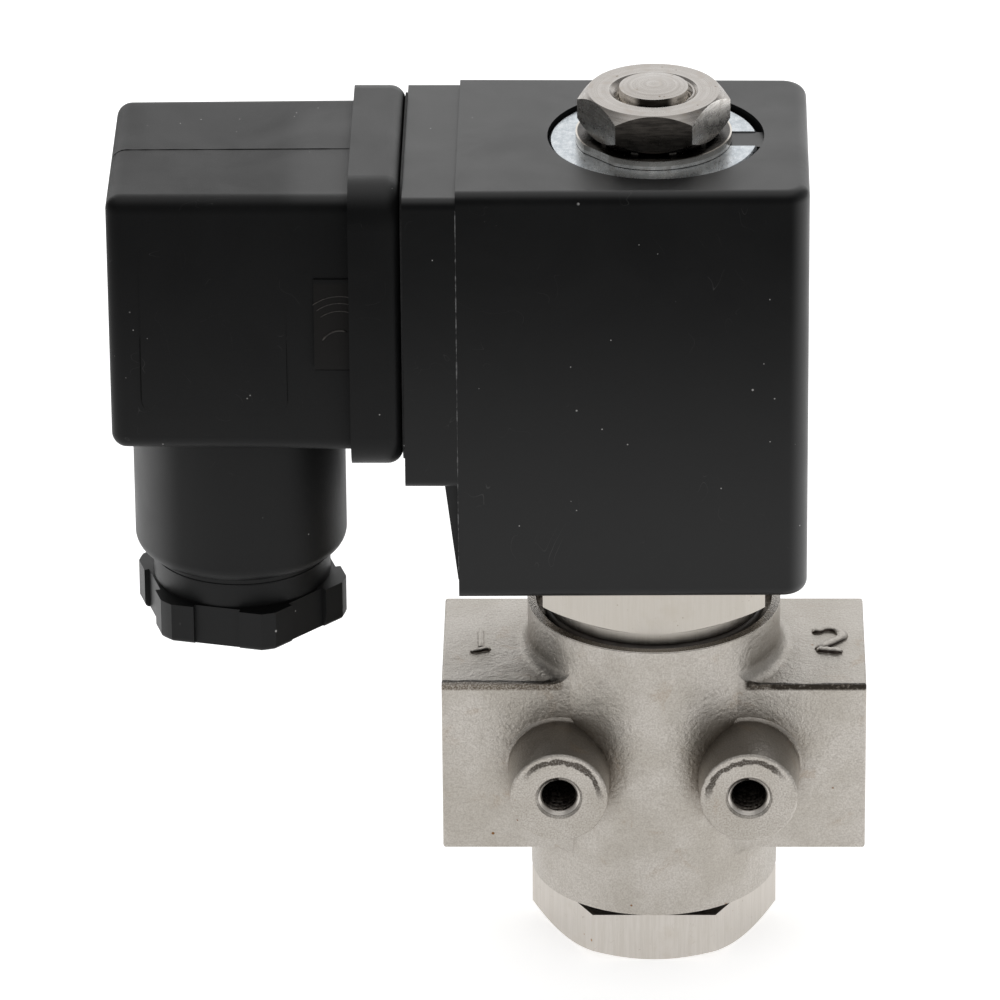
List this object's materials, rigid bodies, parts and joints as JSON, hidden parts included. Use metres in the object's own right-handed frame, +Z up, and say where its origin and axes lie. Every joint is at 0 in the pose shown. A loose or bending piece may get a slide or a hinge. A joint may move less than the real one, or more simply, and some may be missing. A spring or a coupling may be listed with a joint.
{
  "type": "solenoid valve",
  "caption": "Direct-acting solenoid valve with a cast port block, a clamped moulded coil and an angled cable connector on the coil's side.",
  "frame": {"origin": "centre of the bottom plug's underside, on the valve's axis", "axes": "+Z up along the valve's axis, +X towards port 2 and away from the connector, -Y the way the mounting bosses face"},
  "size_m": [0.0728, 0.0303, 0.0899],
  "materials": {
    "cast_stainless": "bead-blasted stainless steel casting",
    "machined_stainless": "turned and milled stainless steel, satin",
    "bright_stainless": "rolled stainless steel fasteners",
    "zinc_steel": "bright zinc-plated steel",
    "spring_steel": "stainless spring wire",
    "copper": "enamelled copper",
    "brass": "plain brass",
    "tinned_blade": "tin-plated brass blade",
    "seal_rubber": "black nitrile rubber",
    "coil_plastic": "black glass-filled moulding, fine matt skin",
    "connector_plastic": "black moulded nylon, satin",
    "bobbin_plastic": "natural nylon"
  },
  "bodies": {
    "valve": {"valve_body": "cast_stainless", "seat_insert": "machined_stainless", "bottom_plug": "machined_stainless", "bottom_plug_seal": "seal_rubber", "tube_nut": "machined_stainless", "body_oring": "seal_rubber", "guide_tube": "machined_stainless", "fixed_core": "machined_stainless", "shading_ring": "copper", "lock_washer": "bright_stainless", "coil_nut": "bright_stainless"},
    "plunger": {"plunger": "machined_stainless", "plunger_seal": "seal_rubber", "plunger_spring": "spring_steel"},
    "coil": {"coil_bobbin": "bobbin_plastic", "coil_winding": "copper", "yoke_sleeve": "zinc_steel", "top_pole_disc": "zinc_steel", "bottom_pole_disc": "zinc_steel", "coil_housing": "coil_plastic", "terminal_block": "coil_plastic", "power_terminal_a": "tinned_blade", "power_terminal_b": "tinned_blade", "earth_terminal": "tinned_blade", "screw_insert": "brass"},
    "connector": {"connector_gasket": "seal_rubber", "connector_housing": "connector_plastic", "contact_carrier": "connector_plastic", "contact_a": "brass", "contact_b": "brass", "contact_earth": "brass", "clamp_screws": "zinc_steel", "fixing_screw": "zinc_steel", "screw_seal": "seal_rubber", "gland_grommet": "seal_rubber"},
    "gland_ring": {"gland_ring": "connector_plastic"},
    "gland_nut": {"gland_nut": "connector_plastic"}
  },
  "joints": [
    {"name": "plunger_lift", "type": "slide", "parent": "valve", "child": "plunger", "axis": [0, 0, 1], "range_m": [0, 0.002], "stiffness_N_per_m": 600, "springref_m": -0.004, "deforming": ["plunger_spring"]},
    {"name": "coil_turn", "type": "hinge", "parent": "valve", "child": "coil", "pos_m": [0, 0, 0.06], "axis": [0, 0, 1], "continuous": true},
    {"name": "connector_pull", "type": "slide", "parent": "coil", "child": "connector", "axis": [-1, 0, 0], "range_m": [0, 0.02]},
    {"name": "gland_travel", "type": "slide", "parent": "connector", "child": "gland_ring", "axis": [0, 0, -1], "range_m": [0, 0.0045]},
    {"name": "gland_nut_turn", "type": "hinge", "parent": "gland_ring", "child": "gland_nut", "pos_m": [-0.0404, 0, 0.04], "axis": [0, 0, -1], "range_deg": [0, 1080]}
  ],
  "couplings": [
    {"joint": "gland_nut_turn", "follows": "gland_travel", "rad_per_m": 4188.8}
  ]
}
